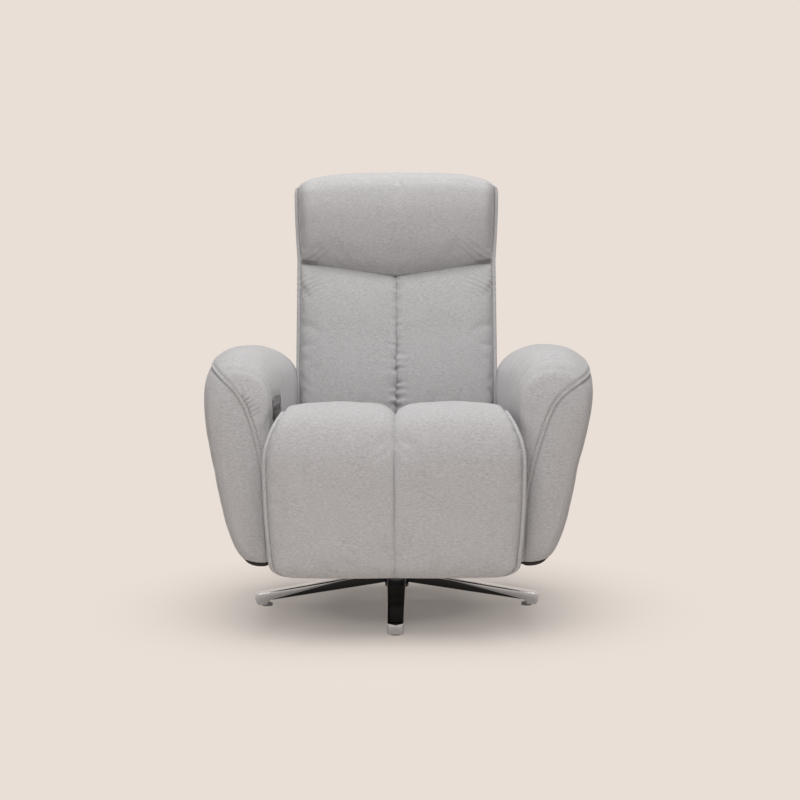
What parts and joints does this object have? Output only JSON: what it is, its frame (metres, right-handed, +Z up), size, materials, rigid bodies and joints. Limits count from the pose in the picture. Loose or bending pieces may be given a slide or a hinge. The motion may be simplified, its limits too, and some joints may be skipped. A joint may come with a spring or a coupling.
{
  "type": "recliner",
  "caption": "Upholstered swivel armchair with a power-reclining back and a powered leg rest, on a four-legged polished star base.",
  "frame": {"origin": "on the floor, on the swivel axis, at the middle of the closed chair's footprint", "axes": "+Z up; the sitter faces -Y; +X is at the right of someone who looks at the chair's front"},
  "size_m": [0.824, 0.8395, 1.0095],
  "materials": {
    "polished_aluminium": "polished",
    "black_plastic": "moulded, matte",
    "bearing_steel": "ground",
    "brass_cage": "stamped",
    "zinc_fastener": "zinc plated",
    "black_steel": "powder coated",
    "anodised_tube": "anodised",
    "plywood": "sanded",
    "webbing": "woven elastic",
    "upholstery": "heathered chenille",
    "control_metal": "satin grey with a bright edge",
    "button_plastic": "moulded"
  },
  "bodies": {
    "base": {"base_star": "polished_aluminium", "leg_webs": "black_plastic", "foot_glides": "black_plastic", "swivel_spindle": "bearing_steel", "spindle_bolt": "zinc_fastener", "lower_race": "bearing_steel", "bearing_balls": "bearing_steel", "bearing_cage": "brass_cage", "spindle_lock_nut": "zinc_fastener"},
    "chassis": {"upper_race": "bearing_steel", "swivel_plate": "black_steel", "swivel_bolts": "zinc_fastener", "side_rails": "black_steel", "cross_tubes": "black_steel", "side_plate_right": "black_steel", "side_plate_left": "black_steel", "seat_side_rails": "plywood", "front_board": "plywood", "rear_seat_rail": "plywood", "seat_webbing": "webbing", "rear_panel": "upholstery", "power_gland": "black_plastic", "power_box": "black_plastic", "seat_cushion": "upholstery", "legrest_brackets": "black_steel", "legrest_pins": "bearing_steel", "back_hinge_pins": "bearing_steel", "leg_motor_bracket": "black_steel", "back_motor_bracket": "black_steel", "motor_tail_pins": "bearing_steel", "control_plate": "control_metal", "switch_box": "black_plastic", "arm_upholstery_right": "upholstery", "arm_upholstery_left": "upholstery", "arm_board_right": "plywood", "arm_board_left": "plywood", "arm_bolts": "zinc_fastener", "back_hinge_washers": "zinc_fastener"},
    "back": {"back_stile_right": "black_steel", "back_stile_left": "black_steel", "back_cross_rails": "black_steel", "back_webbing": "webbing", "lumbar_cushion": "upholstery", "headrest_cushion": "upholstery", "back_outer_panel": "upholstery", "back_crank": "black_steel"},
    "legrest": {"legrest_cushion": "upholstery", "legrest_board": "plywood", "legrest_arms": "black_steel", "legrest_crank": "black_steel"},
    "leg_motor": {"leg_motor_housing": "black_plastic", "leg_motor_tube": "anodised_tube"},
    "leg_rod": {"leg_motor_rod": "bearing_steel"},
    "back_motor": {"back_motor_housing": "black_plastic", "back_motor_tube": "anodised_tube"},
    "back_rod": {"back_motor_rod": "bearing_steel"},
    "button_1": {"button_1": "button_plastic"},
    "button_2": {"button_2": "button_plastic"},
    "button_3": {"button_3": "button_plastic"},
    "button_4": {"button_4": "button_plastic"}
  },
  "joints": [
    {"name": "swivel", "type": "hinge", "parent": "base", "child": "chassis", "pos_m": [0, 0, 0.1], "axis": [0, 0, 1], "continuous": true},
    {"name": "back_recline", "type": "hinge", "parent": "chassis", "child": "back", "pos_m": [0, 0.19, 0.405], "axis": [-1, 0, 0], "range_deg": [0, 45]},
    {"name": "legrest_lift", "type": "hinge", "parent": "chassis", "child": "legrest", "pos_m": [0, -0.37783, 0.44383], "axis": [-1, 0, 0], "range_deg": [0, 85]},
    {"name": "leg_motor_pivot", "type": "hinge", "parent": "chassis", "child": "leg_motor", "pos_m": [-0.06, 0.06, 0.215], "axis": [-1, 0, 0], "range_deg": [0, 3.82]},
    {"name": "leg_motor_stroke", "type": "slide", "parent": "leg_motor", "child": "leg_rod", "axis": [0, -0.9795, 0.2017], "range_m": [0, 0.21346]},
    {"name": "back_motor_pivot", "type": "hinge", "parent": "chassis", "child": "back_motor", "pos_m": [0.06, -0.15, 0.2], "axis": [1, 0, 0], "range_deg": [0, 13.75]},
    {"name": "back_motor_stroke", "type": "slide", "parent": "back_motor", "child": "back_rod", "axis": [0, -0.9872, -0.1597], "range_m": [0, 0.09045]},
    {"name": "button_1_press", "type": "slide", "parent": "chassis", "child": "button_1", "axis": [-0.9981, 0.0622, 0], "range_m": [0, 0.0015], "stiffness_N_per_m": 400},
    {"name": "button_2_press", "type": "slide", "parent": "chassis", "child": "button_2", "axis": [-0.9981, 0.0622, 0], "range_m": [0, 0.0015], "stiffness_N_per_m": 400},
    {"name": "button_3_press", "type": "slide", "parent": "chassis", "child": "button_3", "axis": [-0.9981, 0.0622, 0], "range_m": [0, 0.0015], "stiffness_N_per_m": 400},
    {"name": "button_4_press", "type": "slide", "parent": "chassis", "child": "button_4", "axis": [-0.9981, 0.0622, 0], "range_m": [0, 0.0015], "stiffness_N_per_m": 400}
  ],
  "couplings": [
    {"joint": "leg_motor_pivot", "follows": "legrest_lift", "ratio": 0.044857},
    {"joint": "leg_motor_stroke", "follows": "legrest_lift", "m_per_rad": 0.14387},
    {"joint": "back_motor_pivot", "follows": "back_recline", "ratio": 0.30523},
    {"joint": "back_motor_stroke", "follows": "back_recline", "m_per_rad": 0.11513}
  ]
}
